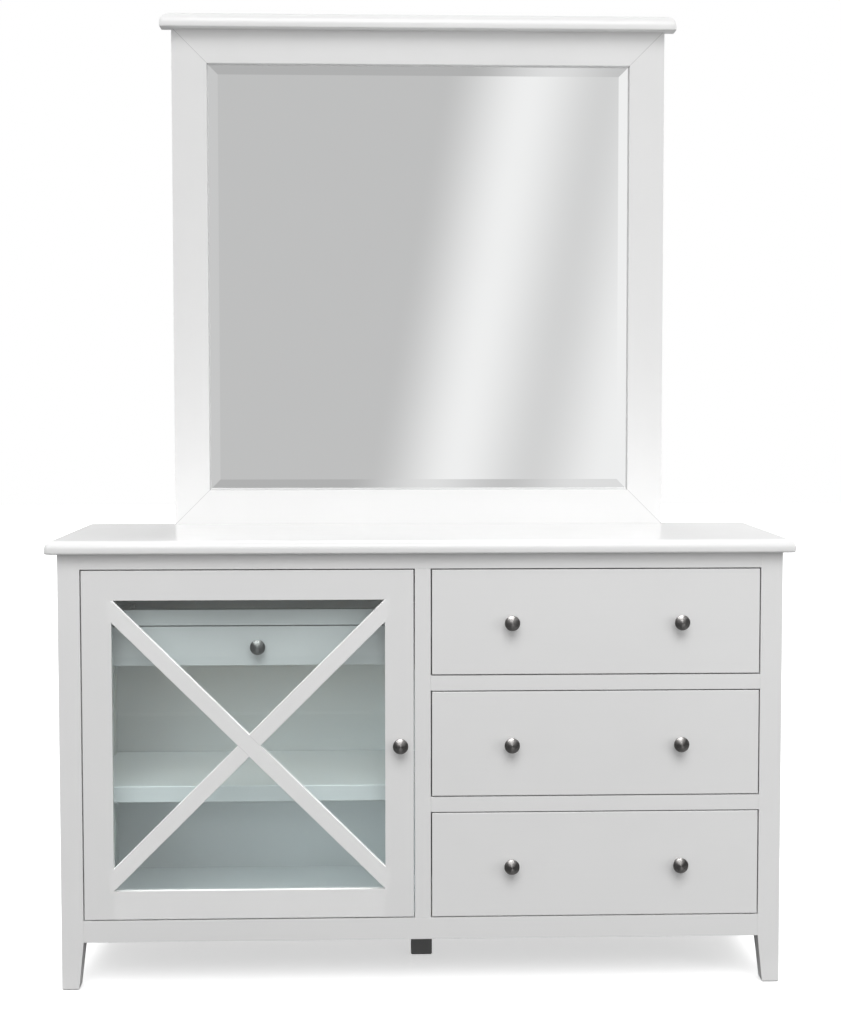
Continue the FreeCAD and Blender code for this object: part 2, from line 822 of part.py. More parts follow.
# --- Assembly -----------------------------------------------------------------------
def make_carcass():
    """Write the fixed carcass, apart from the parts that depend on the drawers."""
    pins = Part.makeCompound(shelf_pins())
    panels = {"left": side_panel(-1), "right": side_panel(1)}
    rear_panel = back_panel()
    rear_rail = rear_top_rail()
    legs = {}
    for x_name, x_side in (("left", -1), ("right", 1)):
        for y_name, y_side in (("front", -1), ("rear", 1)):
            post = leg(x_side, y_side).cut(panels[x_name])
            legs[y_name + "_" + x_name + "_leg"] = post.cut(rear_panel)
    posts = Part.makeCompound([leg(x_side, y_side) for x_side in (-1, 1) for y_side in (-1, 1)])
    for name, post in legs.items():
        save(name, [post])
    save("left_side_panel", [panels["left"].cut(pins)])
    save("right_side_panel", [panels["right"]])
    save("back_panel", [rear_panel])
    save("rear_top_rail", [rear_rail])
    save("bottom_panel", [bottom_panel(posts)])
    save("partition", [partition(rear_rail).cut(pins)])
    save("centre_leg", [centre_leg()])
    save("cupboard_shelf", [shelf(posts)])
    save("shelf_pins", shelf_pins())
    save("inner_drawer_rail", [inner_drawer_rail()])
    save("inner_drawer_cheeks", inner_drawer_cheeks())
    save("hinge_arms", [hinge_arm(z) for z in hinge_heights()])
    top = moulded_board(
        top_width / 2,
        (face_y - top_front_overhang, rear_y),
        carcass_top,
        top_thickness,
        (top_lower_round, top_upper_round),
        top_corner_radius,
    )
    save("dresser_top", [top])


def make_face_frame():
    full_width = (-inner_half, inner_half)
    save("front_top_rail", [face_rail(full_width, (opening_top, carcass_top))])
    save("front_bottom_rail", [face_rail(full_width, (leg_clear_height, opening_bottom))])
    save("centre_stile", [face_rail((-stile_half, stile_half), (opening_bottom, opening_top))])
    for index, name in enumerate(("lower_drawer_rail", "upper_drawer_rail"), start=1):
        z = opening_bottom + index * drawer_pitch - drawer_rail_height
        save(name, [face_rail((stile_half, inner_half), (z, z + drawer_rail_height))])


def make_drawers():
    fixed_runners = []
    packers = []
    opening = (stile_half, inner_half)
    offsets = (-drawer_knob_spacing / 2, drawer_knob_spacing / 2)
    for index, name in enumerate(("lower_drawer", "middle_drawer", "upper_drawer")):
        z_low = opening_bottom + index * drawer_pitch + frame_gap
        z_range = (z_low, z_low + drawer_front_height)
        fixed_runners += make_drawer(
            name, opening, face_y, drawer_front_thickness, z_range, drawer_box_lift,
            drawer_box_height, drawer_box_length, runner_height, offsets
        )
        runner_z = z_low + drawer_box_lift + drawer_box_height / 2
        packer_z = (runner_z - runner_packer_height / 2, runner_z + runner_packer_height / 2)
        packer_y = (face_y + leg_size, rear_y - leg_size)
        packers.append(block((inner_half, side_inner_x), packer_y, packer_z))
    inner_high = inner_rail_bottom - frame_gap
    fixed_runners += make_drawer(
        "inner_drawer", (inner_opening_left, inner_opening_right), inner_face_y,
        inner_front_thickness, (inner_high - inner_front_height, inner_high), inner_box_lift,
        inner_box_height, inner_box_length, inner_runner_height, (0.0,)
    )
    save("cabinet_runners", fixed_runners)
    save("runner_packers", packers)


def main():
    os.makedirs("parts", exist_ok=True)
    make_carcass()
    make_face_frame()
    make_drawers()
    make_door()
    make_mirror()


main()
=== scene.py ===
import json
import math

import bpy
import bmesh
from mathutils import Matrix, Vector

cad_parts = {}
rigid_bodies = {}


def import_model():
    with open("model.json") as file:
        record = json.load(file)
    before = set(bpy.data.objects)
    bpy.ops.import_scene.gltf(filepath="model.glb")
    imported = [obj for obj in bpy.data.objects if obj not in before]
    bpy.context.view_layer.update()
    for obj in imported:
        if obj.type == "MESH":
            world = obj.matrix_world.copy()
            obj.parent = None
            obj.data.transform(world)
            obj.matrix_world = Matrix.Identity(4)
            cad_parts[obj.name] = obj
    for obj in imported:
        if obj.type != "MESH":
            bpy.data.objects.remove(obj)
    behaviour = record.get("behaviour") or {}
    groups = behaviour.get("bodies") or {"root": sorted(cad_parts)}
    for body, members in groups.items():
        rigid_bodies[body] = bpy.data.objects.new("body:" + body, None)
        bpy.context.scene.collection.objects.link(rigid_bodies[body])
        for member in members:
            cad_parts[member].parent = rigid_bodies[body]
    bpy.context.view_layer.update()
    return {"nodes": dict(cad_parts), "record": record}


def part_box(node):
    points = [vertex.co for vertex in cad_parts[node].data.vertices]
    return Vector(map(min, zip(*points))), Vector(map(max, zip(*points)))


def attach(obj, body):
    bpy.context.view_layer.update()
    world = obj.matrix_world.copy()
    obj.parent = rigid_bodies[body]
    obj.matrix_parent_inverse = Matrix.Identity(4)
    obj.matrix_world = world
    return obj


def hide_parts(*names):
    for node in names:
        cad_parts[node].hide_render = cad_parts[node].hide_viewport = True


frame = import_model()
nodes = frame["nodes"]
MM = 0.001

# --- Camera: place in metres, angles in radians, principal point in pixels -------------
FRAME_W, FRAME_H = 841, 1024
FACE_Y = -0.2045
CAMERA_PLACE = (-0.0546, FACE_Y - 3.1260, 1.1186)
CAMERA_YAW, CAMERA_PITCH, CAMERA_ROLL = -0.03563, 0.05439, 0.00019
FOCAL_PIXELS = 1672.9
PRINCIPAL = (453.01, 488.27)
SENSOR_WIDTH = 36.0


def make_camera():
    data = bpy.data.cameras.new("camera")
    data.sensor_fit = "AUTO"
    data.sensor_width = SENSOR_WIDTH
    data.lens = FOCAL_PIXELS * SENSOR_WIDTH / FRAME_H
    data.shift_x = (FRAME_W / 2 - PRINCIPAL[0]) / FRAME_H
    data.shift_y = (PRINCIPAL[1] - FRAME_H / 2) / FRAME_H
    data.clip_start, data.clip_end = 0.05, 60.0
    camera = bpy.data.objects.new("camera", data)
    turn = Matrix.Rotation(CAMERA_YAW, 4, "Z") @ Matrix.Rotation(math.pi / 2 - CAMERA_PITCH, 4, "X")
    turn = turn @ Matrix.Rotation(CAMERA_ROLL, 4, "Z")
    camera.matrix_world = Matrix.Translation(CAMERA_PLACE) @ turn
    bpy.context.scene.collection.objects.link(camera)
    bpy.context.scene.camera = camera


# --- Node materials -------------------------------------------------------------------
class Tree:
    """A short way to write the nodes of a material or of the world."""

    def __init__(self, owner):
        owner.use_nodes = True
        self.owner = owner
        self.nodes = owner.node_tree.nodes
        self.links = owner.node_tree.links
        self.nodes.clear()

    def add(self, kind, inputs=None, **settings):
        node = self.nodes.new("ShaderNode" + kind)
        for key, value in settings.items():
            setattr(node, key, value)
        for key, value in (inputs or {}).items():
            if isinstance(value, bpy.types.NodeSocket):
                self.links.new(value, node.inputs[key])
            else:
                node.inputs[key].default_value = value
        return node

    def noise(self, scale, detail=2.0, stretch=(1, 1, 1), roughness=0.5):
        mapping = self.add("Mapping", {"Vector": self.coords, "Scale": stretch})
        inputs = {"Vector": mapping.outputs[0], "Scale": scale, "Detail": detail, "Roughness": roughness}
        return self.add("TexNoise", inputs).outputs[0]

    def spread(self, value, low, high, start=0.3, end=0.7):
        inputs = {"Value": value, "From Min": start, "From Max": end, "To Min": low, "To Max": high}
        return self.add("MapRange", inputs).outputs[0]

    def blend(self, factor, first, second):
        node = self.add("Mix", data_type="RGBA")
        for index, value in ((0, factor), (6, first), (7, second)):
            if isinstance(value, bpy.types.NodeSocket):
                self.links.new(value, node.inputs[index])
            else:
                node.inputs[index].default_value = value
        return node.outputs[2]

    def bump(self, height, strength, distance, normal=None):
        inputs = {"Height": height, "Strength": strength, "Distance": distance}
        if normal is not None:
            inputs["Normal"] = normal
        return self.add("Bump", inputs).outputs[0]

    def calc(self, operation, first, second=0.0):
        return self.add("Math", {0: first, 1: second}, operation=operation).outputs[0]

    def largest(self, first, *others):
        for other in others:
            first = self.calc("MAXIMUM", first, other)
        return first

    def surface(self, socket):
        self.add("OutputMaterial", {"Surface": socket})
        return self.owner


def new_material(name):
    """A new material's nodes, with the piece's own coordinates at hand."""
    t = Tree(bpy.data.materials.new(name))
    t.coords = t.add("TexCoord").outputs["Object"]
    return t


def grey(value):
    return (value, value, value, 1.0)


def scaled(colour, factor):
    return tuple(channel * factor for channel in colour) + (1.0,)


def grain_stretch(grain_axis, across, along_grain):
    """Noise scales that draw a pattern out along one axis."""
    stretch = [across, across, across]
    stretch[grain_axis] = along_grain
    return stretch


LACQUER = (0.86, 0.86, 0.858)
LACQUER_COAT = {"Coat Weight": 0.25, "Coat Roughness": 0.18}
SEAM_HALF, SEAM_SHARE, SEAM_TONE = 0.3 * MM, 0.5, 0.35
LATTICE_WIDTH, LATTICE_ARRIS = 30.0 * MM, 1.0 * MM


def lacquer(name, grain_axis, colour=LACQUER, roughness=0.32, grain=0.10, seam=None):
    """Sprayed satin lacquer: slow drift of tone, orange peel, and timber grain that telegraphs.

    A seam is a function that gives the distance from a joint line, which shows as a hairline."""
    t = new_material(name)
    drift = t.noise(3.0, detail=3.0)
    fibre = t.noise(6.0, detail=5.0, stretch=grain_stretch(grain_axis, 60.0, 1.6), roughness=0.62)
    tone = t.blend(t.spread(drift, 0.0, 1.0), scaled(colour, 0.985), scaled(colour, 1.01))
    tone = t.blend(t.spread(fibre, 0.0, grain, 0.35, 0.75), tone, scaled(colour, 0.94))
    if seam:
        hairline = t.spread(seam(t), SEAM_SHARE, 0.0, SEAM_HALF, 2 * SEAM_HALF)
        tone = t.blend(hairline, tone, scaled(colour, SEAM_TONE))
    gloss = t.spread(t.noise(24.0, detail=4.0), roughness - 0.04, roughness + 0.05)
    peel = t.bump(t.noise(520.0, detail=2.0), 0.05, 0.0004)
    normal = t.bump(fibre, grain, 0.0005, peel)
    inputs = {"Base Color": tone, "Roughness": gloss, "Normal": normal, **LACQUER_COAT}
    return t.surface(t.add("BsdfPrincipled", inputs).outputs[0])


def off_line(t, point, slope):
    """Distance in the front plane from a line through a point (x, z) that rises at an angle."""
    flat = t.add("SeparateXYZ", {0: t.coords})
    from_x = t.calc("SUBTRACT", flat.outputs["X"], point[0])
    from_z = t.calc("SUBTRACT", flat.outputs["Z"], point[1])
    side = t.calc("MULTIPLY", from_x, -math.sin(slope))
    rise = t.calc("MULTIPLY", from_z, math.cos(slope))
    return t.calc("ABSOLUTE", t.calc("ADD", side, rise))


def mitre_seam(t):
    """Distance from the 45 degree lines where the mirror's members meet, folded about its middle."""
    low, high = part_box("mirror_left_stile")
    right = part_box("mirror_right_stile")[1].x
    flat = t.add("SeparateXYZ", {0: t.coords})
    from_edge = []
    for axis, start, end in (("X", low.x, right), ("Z", low.z, high.z)):
        from_middle = t.calc("ABSOLUTE", t.calc("SUBTRACT", flat.outputs[axis], (start + end) / 2))
        from_edge.append(t.calc("SUBTRACT", (end - start) / 2, from_middle))
    return t.calc("ABSOLUTE", t.calc("MULTIPLY", t.calc("SUBTRACT", *from_edge), math.sqrt(0.5)))


def crossing_seam(t):
    """The edge of the lattice bar that runs through, where the lapped bar meets it."""
    left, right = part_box("door_hinge_stile")[1].x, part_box("door_knob_stile")[0].x
    bottom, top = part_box("door_bottom_rail")[1].z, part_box("door_top_rail")[0].z
    span_x, span_z = right - left, top - bottom
    slope = math.atan2(span_z, span_x) - math.asin(LATTICE_WIDTH / math.hypot(span_x, span_z))
    off_axis = off_line(t, ((left + right) / 2, (bottom + top) / 2), -slope)
    return t.calc("ABSOLUTE", t.calc("SUBTRACT", off_axis, LATTICE_WIDTH / 2 - LATTICE_ARRIS))


def bare_timber(name, grain_axis, light, dark, roughness=0.5):
    """Clear-sealed light timber: rings stretched along the grain, pores and a soft sheen."""
    t = new_material(name)
    stretch = grain_stretch(grain_axis, 14.0, 0.5)
    warp = t.noise(1.4, detail=3.0, stretch=stretch)
    ring = t.noise(5.0, detail=4.0, stretch=stretch, roughness=0.55)
    pores = t.noise(1.6, detail=2.0, stretch=grain_stretch(grain_axis, 260.0, 9.0))
    colour = t.blend(t.spread(ring, 0.0, 1.0), light, dark)
    colour = t.blend(t.spread(warp, 0.0, 0.35), colour, scaled(light[:3], 1.12))
    colour = t.blend(t.spread(pores, 0.0, 0.35, 0.58, 0.75), colour, scaled(dark[:3], 0.7))
    gloss = t.spread(ring, roughness - 0.06, roughness + 0.08)
    inputs = {"Base Color": colour, "Roughness": gloss, "Normal": t.bump(pores, 0.12, 0.0004)}
    return t.surface(t.add("BsdfPrincipled", inputs).outputs[0])


def hardboard(name):
    """Brown pressed board: fine matted fibre with darker flecks."""
    t = new_material(name)
    fine = t.noise(420.0, detail=5.0, roughness=0.7)
    clouds = t.noise(7.0, detail=3.0)
    colour = t.blend(t.spread(fine, 0.0, 1.0), (0.30, 0.20, 0.13, 1), (0.44, 0.32, 0.22, 1))
    colour = t.blend(t.spread(clouds, 0.0, 0.4), colour, (0.33, 0.23, 0.155, 1))
    flecks = t.noise(900.0, detail=1.0)
    colour = t.blend(t.spread(flecks, 0.0, 0.5, 0.62, 0.72), colour, (0.14, 0.09, 0.06, 1))
    inputs = {"Base Color": colour, "Roughness": 0.68, "Normal": t.bump(fine, 0.25, 0.0004)}
    return t.surface(t.add("BsdfPrincipled", inputs).outputs[0])


def zinc(name, colour=(0.62, 0.63, 0.65), roughness=0.34):
    """Bright zinc plate on rolled sheet: cloudy tone and fine drawn lines."""
    t = new_material(name)
    clouds = t.noise(55.0, detail=4.0, roughness=0.6)
    drawn = t.noise(8.0, detail=3.0, stretch=(90.0, 1.5, 90.0))
    tone = t.blend(t.spread(clouds, 0.0, 1.0), scaled(colour, 0.88), scaled(colour, 1.1))
    gloss = t.spread(drawn, roughness - 0.08, roughness + 0.1)
    inputs = {"Base Color": tone, "Metallic": 1.0, "Roughness": gloss, "Normal": t.bump(drawn, 0.08, 0.0003)}
    return t.surface(t.add("BsdfPrincipled", inputs).outputs[0])


def satin_nickel(name):
    """Turned and brushed nickel: rings round the axis, a spun highlight and a warm cast."""
    t = new_material(name)
    rings = t.add("VectorMath", {0: t.coords, 1: (1.0, 0.0, 1.0)}, operation="MULTIPLY").outputs[0]
    radius = t.add("VectorMath", {0: rings}, operation="LENGTH").outputs["Value"]
    lines = t.add("TexNoise", {"W": radius, "Scale": 5200.0, "Detail": 2.0}, noise_dimensions="1D")
    clouds = t.noise(160.0, detail=3.0)
    tone = t.blend(t.spread(clouds, 0.0, 1.0), (0.205, 0.2, 0.195, 1), (0.28, 0.27, 0.265, 1))
    specks = t.noise(900.0, detail=2.0)
    tone = t.blend(t.spread(specks, 0.0, 0.5, 0.45, 0.7), tone, (0.10, 0.098, 0.096, 1))
    gloss = t.spread(lines.outputs[0], 0.32, 0.44)
    tangent = t.add("Tangent", direction_type="RADIAL", axis="Y").outputs[0]
    inputs = {
        "Base Color": tone,
        "Metallic": 1.0,
        "Roughness": gloss,
        "Anisotropic": 0.8,
        "Anisotropic Rotation": 0.25,
        "Tangent": tangent,
        "Normal": t.bump(lines.outputs[0], 0.05, 0.0002),
    }
    return t.surface(t.add("BsdfPrincipled", inputs).outputs[0])


def silvered_glass(name):
    """Silvered mirror glass, with the faintest unevenness of float glass."""
    t = new_material(name)
    waves = t.noise(2.0, detail=1.0)
    tone = t.blend(t.spread(t.noise(9.0), 0.0, 1.0), (0.885, 0.89, 0.89, 1), (0.89, 0.895, 0.895, 1))
    inputs = {"Base Color": tone, "Metallic": 1.0, "Roughness": 0.015, "Normal": t.bump(waves, 0.004, 0.001)}
    return t.surface(t.add("BsdfPrincipled", inputs).outputs[0])


def clear_glass(name, tint):
    """Clear float glass with its faint tint. Shadow, diffuse and mirrored rays pass straight on."""
    t = new_material(name)
    film = t.noise(5.0, detail=3.0)
    colour = t.blend(t.spread(film, 0.0, 1.0), scaled(tint, 0.995), scaled(tint, 1.0))
    inputs = {"Base Color": colour, "Roughness": 0.0, "IOR": 1.5, "Transmission Weight": 1.0}
    glass = t.add("BsdfPrincipled", inputs)
    through = t.add("BsdfTransparent", {"Color": tuple(math.sqrt(channel) for channel in tint) + (1.0,)})
    path = t.add("LightPath").outputs
    mirrored = t.calc("SUBTRACT", path["Is Glossy Ray"], path["Is Transmission Ray"])
    plain = t.largest(path["Is Shadow Ray"], path["Is Diffuse Ray"], mirrored)
    mix = t.add("MixShader", {0: plain, 1: glass.outputs[0], 2: through.outputs[0]})
    return t.surface(mix.outputs[0])


X, Y, Z = 0, 1, 2
GLASS_TINT = (0.84, 0.888, 0.888)
CENTRE_LEG_GREY = (0.20, 0.20, 0.20)
LIGHT_TIMBER, DARK_TIMBER = (0.66, 0.50, 0.32, 1), (0.52, 0.37, 0.215, 1)
white_upright = lacquer("white lacquer upright grain", Z)
white_level = lacquer("white lacquer level grain", X)
white_deep = lacquer("white lacquer grain front to back", Y)
white_grained = lacquer("white lacquer on grained panel", X, roughness=0.42, grain=0.45)
mitred_upright = lacquer("white lacquer mitred stile", Z, seam=mitre_seam)
mitred_level = lacquer("white lacquer mitred rail", X, seam=mitre_seam)
lapped = lacquer("white lacquer lapped bar", X, seam=crossing_seam)
# A flat dark grey for the centre leg, which stands in the shade under the carcass; the leg's real colour is
# not known.
centre_leg_grey = lacquer("dark grey paint", Z, CENTRE_LEG_GREY, roughness=0.45)
box_timber = bare_timber("drawer box timber", Y, LIGHT_TIMBER, DARK_TIMBER)
board = hardboard("backing board")
zinc_steel = zinc("zinc plated steel")
nickel = satin_nickel("satin nickel")
mirror_silver = silvered_glass("silvered glass")
door_glass = clear_glass("door glass", GLASS_TINT)

UPRIGHT = (
    "front_left_leg front_right_leg rear_left_leg rear_right_leg centre_stile "
    "left_side_panel right_side_panel partition door_hinge_stile door_knob_stile "
    "mirror_posts"
).split()
DEEP = "bottom_panel inner_drawer_cheeks runner_packers".split()
BY_NODE = {
    "back_panel": white_grained,
    "mirror_left_stile": mitred_upright,
    "mirror_right_stile": mitred_upright,
    "mirror_top_rail": mitred_level,
    "mirror_bottom_rail": mitred_level,
    "door_lattice_lapped_bar": lapped,
}
BY_SLOT = {
    "white_lacquer": white_level,
    "dark_lacquer": centre_leg_grey,
    "drawer_box_wood": box_timber,
    "backing_board": board,
    "satin_nickel": nickel,
    "zinc_steel": zinc_steel,
    "door_glass": door_glass,
    "mirror_glass": mirror_silver,
}


def dress(obj, material):
    if not obj.material_slots:
        obj.data.materials.append(material)
    for slot in obj.material_slots:
        slot.material = material


def dress_nodes():
    for part in frame["record"]["subparts"]:
        name = part["node"]
        material = BY_SLOT[part["material_slot"]]
        if name in UPRIGHT:
            material = white_upright
        elif name in DEEP:
            material = white_deep
        dress(nodes[name], BY_NODE.get(name, material))


# --- Eased edges on the square-cut pieces ----------------------------------------------
EASED = (
    "front_left_leg front_right_leg rear_left_leg rear_right_leg centre_leg centre_stile "
    "front_top_rail front_bottom_rail lower_drawer_rail upper_drawer_rail inner_drawer_rail "
    "left_side_panel right_side_panel partition bottom_panel"
).split()
EASED_WIDTH = 0.5 * MM
SHARP_ANGLE = math.radians(30)


def ease_edges(obj, width):
    """Rounds the arrises a little, as paint and sanding leave them."""
    weld = obj.modifiers.new("weld", "WELD")
    weld.merge_threshold = 0.01 * MM
    flat = obj.modifiers.new("flat", "DECIMATE")
    flat.decimate_type = "DISSOLVE"
    flat.angle_limit = math.radians(0.5)
    bevel = obj.modifiers.new("arris", "BEVEL")
    bevel.width = width
    bevel.segments = 2
    bevel.limit_method = "ANGLE"
    bevel.angle_limit = SHARP_ANGLE
    bevel.harden_normals = False
    shade = obj.modifiers.new("shade", "WEIGHTED_NORMAL")
    shade.keep_sharp = False


# --- Meshes ------------------------------------------------------------------------------
def new_piece(name, bm, material, body, smooth_angle=SHARP_ANGLE):
    """Turns a bmesh into a named piece that rides on a body."""
    bmesh.ops.remove_doubles(bm, verts=bm.verts, dist=0.001 * MM)
    bmesh.ops.recalc_face_normals(bm, faces=bm.faces)
    mesh = bpy.data.meshes.new(name)
    bm.to_mesh(mesh)
    bm.free()
    mesh.shade_smooth()
    mesh.set_sharp_from_angle(angle=smooth_angle)
    mesh.materials.append(material)
    obj = bpy.data.objects.new(name, mesh)
    bpy.context.scene.collection.objects.link(obj)
    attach(obj, body)
    return obj


def add_ring(bm, points):
    return [bm.verts.new(point) for point in points]


def bridge(bm, first, second, closed=True):
    count = len(first)
    for i in range(count if closed else count - 1):
        j = (i + 1) % count
        corners = [first[i], first[j], second[j], second[i]]
        if len(set(corners)) > 2:
            bm.faces.new(corners)


def fan(bm, hub, rim):
    for i in range(len(rim)):
        bm.faces.new([hub, rim[i], rim[(i + 1) % len(rim)]])


def lathe(bm, profile, place, outward, steps):
    """Turns a profile of (radius, reach) pairs about an axis; ends on the axis are closed."""
    turn = outward.to_track_quat("Z", "X").to_matrix()
    rings = []
    for radius, reach in profile:
        if radius < 1e-7:
            rings.append([bm.verts.new(place + turn @ Vector((0, 0, reach)))])
            continue
        angles = [2 * math.pi * i / steps for i in range(steps)]
        rings.append(add_ring(bm, [
            place + turn @ Vector((radius * math.cos(a), radius * math.sin(a), reach)) for a in angles
        ]))
    for first, second in zip(rings, rings[1:]):
        if len(first) == 1 or len(second) == 1:
            hub, rim = (first[0], second) if len(first) == 1 else (second[0], first)
            fan(bm, hub, rim)
        else:
            bridge(bm, first, second)


def arc(centre, radius, start, end, count):
    """Points on a circle between two angles in degrees."""
    points = []
    for i in range(count + 1):
        angle = math.radians(start + (end - start) * i / count)
        points.append((centre[0] + radius * math.cos(angle), centre[1] + radius * math.sin(angle)))
    return points


# --- Knobs -------------------------------------------------------------------------------
KNOB_RADIUS = 14.5
KNOB_REACH = 27.0
KNOB_CROWN = 4.0
KNOB_RIM_ROUND = 1.6
KNOB_TIP_INSET = 0.01
KNOB_STEPS = 56


def knob_profile():
    """Base flange, waist, swelling underside, rolled rim and domed face, in millimetres."""
    profile = [(0.0, 0.0), (8.6, 0.0)]
    profile += arc((8.6, 0.8), 0.8, -90, 90, 4)
    profile += [(7.6, 2.0)]
    profile += arc((11.4, 6.2), 5.8, 228, 180, 6)
    profile += [(5.6, 9.5)]
    profile += arc((10.6, 11.0), 5.0, 170, 100, 6)
    profile += [(12.4, 17.3)]
    rim_y = KNOB_REACH - KNOB_CROWN - KNOB_RIM_ROUND
    profile += arc((KNOB_RADIUS - KNOB_RIM_ROUND, rim_y - 1.0), KNOB_RIM_ROUND, -70, 0, 4)
    profile += arc((KNOB_RADIUS - KNOB_RIM_ROUND, rim_y), KNOB_RIM_ROUND, 0, 58, 4)
    dome_edge = profile[-1]
    dome_count = 9
    sphere = (dome_edge[0] ** 2 + (KNOB_REACH - dome_edge[1]) ** 2) / (2 * (KNOB_REACH - dome_edge[1]))
    for i in range(1, dome_count):
        radius = dome_edge[0] * (1 - i / dome_count)
        profile.append((radius, KNOB_REACH - sphere + math.sqrt(sphere ** 2 - radius ** 2)))
    profile.append((0.0, KNOB_REACH - KNOB_TIP_INSET))
    return [(r * MM, y * MM) for r, y in profile]


def knob_centres(node):
    """The middles, as (x, z), of the one or two knobs that a node holds."""
    low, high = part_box(node)
    radius = KNOB_RADIUS * MM
    z = (low.z + high.z) / 2
    if high.x - low.x < 4 * radius:
        return [((low.x + high.x) / 2, z)]
    return [(low.x + radius, z), (high.x - radius, z)]


def make_knob(name, body, x, y, z):
    """One knob, modelled at its own centre so that its brushing turns about its axis.

    It is set in its place first and then rides its own body."""
    bm = bmesh.new()
    lathe(bm, knob_profile(), Vector((0, 0, 0)), Vector((0, -1, 0)), steps=KNOB_STEPS)
    obj = new_piece(name, bm, nickel, "carcass", math.radians(50))
    obj.parent = None
    obj.matrix_world = Matrix.Translation((x, y, z))
    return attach(obj, body)


def make_knobs():
    for node in sorted(nodes):
        if not (node.endswith("_knobs") or node == "door_knob"):
            continue
        body = node.rsplit("_", 1)[0]
        seat_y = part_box(node)[1].y
        centres = knob_centres(node)
        endings = ("_turned",) if len(centres) == 1 else ("_turned_left", "_turned_right")
        made = [make_knob(node + ending, body, x, seat_y, z) for ending, (x, z) in zip(endings, centres)]
        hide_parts(node)


# --- Moulded boards --------------------------------------------------------------------------
def plan_outline(half, front, back, inset, radius, steps):
    """Board outline with rounded front corners, drawn in by an inset; the back stays put."""
    r = max(radius - inset, 0.05 * MM)
    left, right, near = -half + inset, half - inset, front + inset
    points = [(left, back)]
    points += arc((left + r, near + r), r, 180, 270, steps)
    points += arc((right - r, near + r), r, 270, 360, steps)
    points.append((right, back))
    return [Vector((x, y, 0)) for x, y in points]


# The lower round, the upper round and the corners' radius in plan
TOP_ROUNDS = (4.0 * MM, 16.0 * MM, 9.0 * MM)
CORNICE_ROUNDS = (2.0 * MM, 24.0 * MM, 6.0 * MM)
LOWER_STEPS, UPPER_STEPS, CORNER_STEPS = 5, 14, 8


def quarter(steps):
    """Angles from nothing to a right angle."""
    return [math.pi / 2 * i / steps for i in range(steps + 1)]


def moulded_board(name, node, lower_round, upper_round, radius, material):
    """A board with a large round above a small one, run round the front and both ends."""
    low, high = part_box(node)
    profile = [(lower_round * (1 - math.sin(a)), low.z + lower_round * (1 - math.cos(a)))
               for a in quarter(LOWER_STEPS)]
    profile += [(upper_round * (1 - math.cos(a)), high.z - upper_round * (1 - math.sin(a)))
                for a in quarter(UPPER_STEPS)]
    bm = bmesh.new()
    rings = []
    for inset, z in profile:
        outline = plan_outline(high.x, low.y, high.y, inset, radius, CORNER_STEPS)
        rings.append(add_ring(bm, [point + Vector((0, 0, z)) for point in outline]))
    for first, second in zip(rings, rings[1:]):
        bridge(bm, first, second)
    bm.faces.new(rings[0])
    bm.faces.new(rings[-1])
    obj = new_piece(name, bm, material, "carcass", math.radians(40))
    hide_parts(node)


# --- Screws ------------------------------------------------------------------------------------
SCREW_STEPS = 24
# The head's crown from its foot to near its middle, as shares of its radius and height.
SCREW_CROWN = (
    (1.0, 0.0), (1.0, 0.45), (0.93, 0.78), (0.8, 0.93), (0.62, 1.0),
    (0.48, 1.0), (0.36, 1.0), (0.24, 1.0), (0.12, 1.0),
)
KNOB_SCREW = (4.0 * MM, 2.2 * MM)
HINGE_SCREW = (3.2 * MM, 1.6 * MM)
BACK_SCREW = (3.2 * MM, 1.4 * MM)


def screw_head(bm, place, outward, radius, height, angle=0.0, steps=SCREW_STEPS):
    """A pan head with a cross recess pressed into its crown."""
    turn = outward.to_track_quat("Z", "X").to_matrix() @ Matrix.Rotation(angle, 3, "Z")
    slot_half, slot_end, slot_depth = 0.13 * radius, 0.56 * radius, 0.55 * height
    rings = []
    for share, rise in SCREW_CROWN:
        points = []
        for i in range(steps):
            a = 2 * math.pi * i / steps
            x, y = share * radius * math.cos(a), share * radius * math.sin(a)
            inside = min(abs(x), abs(y)) < slot_half and max(abs(x), abs(y)) < slot_end
            z = rise * height - (slot_depth if inside else 0.0)
            points.append(place + turn @ Vector((x, y, z)))
        rings.append(add_ring(bm, points))
    for first, second in zip(rings, rings[1:]):
        bridge(bm, first, second)
    fan(bm, bm.verts.new(place + turn @ Vector((0, 0, height - slot_depth))), rings[-1])
    fan(bm, bm.verts.new(place), rings[0])


def make_screws(name, body, places, outward, size):
    """Heads of one size (radius, height), each driven home at another angle."""
    radius, height = size
    bm = bmesh.new()
    for index, place in enumerate(places):
        screw_head(bm, Vector(place), Vector(outward), radius, height, angle=0.7 * index)
    new_piece(name, bm, zinc_steel, body, math.radians(35))


def knob_screws():
    """The machine screw that holds each knob, on the back of its front or stile."""
    for body in ("upper_drawer", "middle_drawer", "lower_drawer", "inner_drawer"):
        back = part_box(body + "_front")[1].y
        places = [(x, back, z) for x, z in knob_centres(body + "_knobs")]
        make_screws(body + "_knob_screws", body, places, (0, 1, 0), KNOB_SCREW)
    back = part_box("door_knob_stile")[1].y
    places = [(x, back, z) for x, z in knob_centres("door_knob")]
    make_screws("door_knob_screw", "door", places, (0, 1, 0), KNOB_SCREW)


